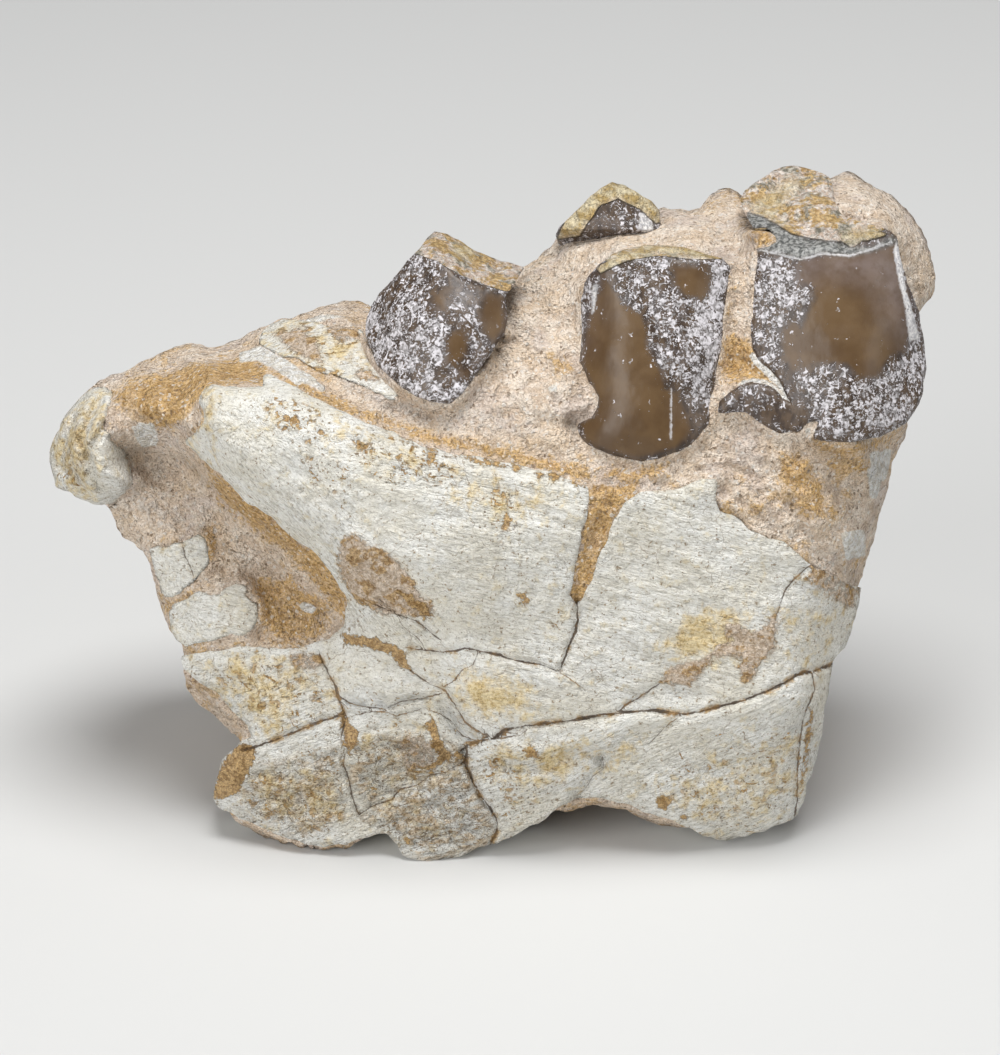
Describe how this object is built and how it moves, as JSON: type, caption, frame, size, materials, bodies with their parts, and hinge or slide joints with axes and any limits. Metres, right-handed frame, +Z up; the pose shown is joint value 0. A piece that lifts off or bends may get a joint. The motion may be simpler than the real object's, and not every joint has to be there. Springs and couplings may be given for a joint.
{
  "type": "fossil mammal jaw",
  "caption": "Fossil jaw piece: off-white cracked bone and dark enamel teeth held in a block of sandy matrix, standing on a small flat spot.",
  "frame": {"origin": "middle of the small flat spot under the block, at floor level", "axes": "+Z up, +X along the tooth row towards the largest tooth, -Y out of the jaw's outer side"},
  "size_m": [0.1309, 0.0614, 0.0923],
  "materials": {
    "bone": "matt off-white fossil bone with fine grain, pits and cracks, tinted ochre in places",
    "matrix": "rough sandy pinkish-beige rock with orange-brown iron stains",
    "enamel": "dark brown glossy fossil enamel with whitish-grey flaky speckle"
  },
  "bodies": {
    "root": {"matrix": "matrix", "jaw_bone": "bone", "bone_lump": "bone", "bone_flake_upper": "bone", "bone_flake_lower": "bone", "socket_rim": "bone", "tooth_left": "enamel", "tooth_middle": "enamel", "tooth_right": "enamel"}
  },
  "joints": []
}
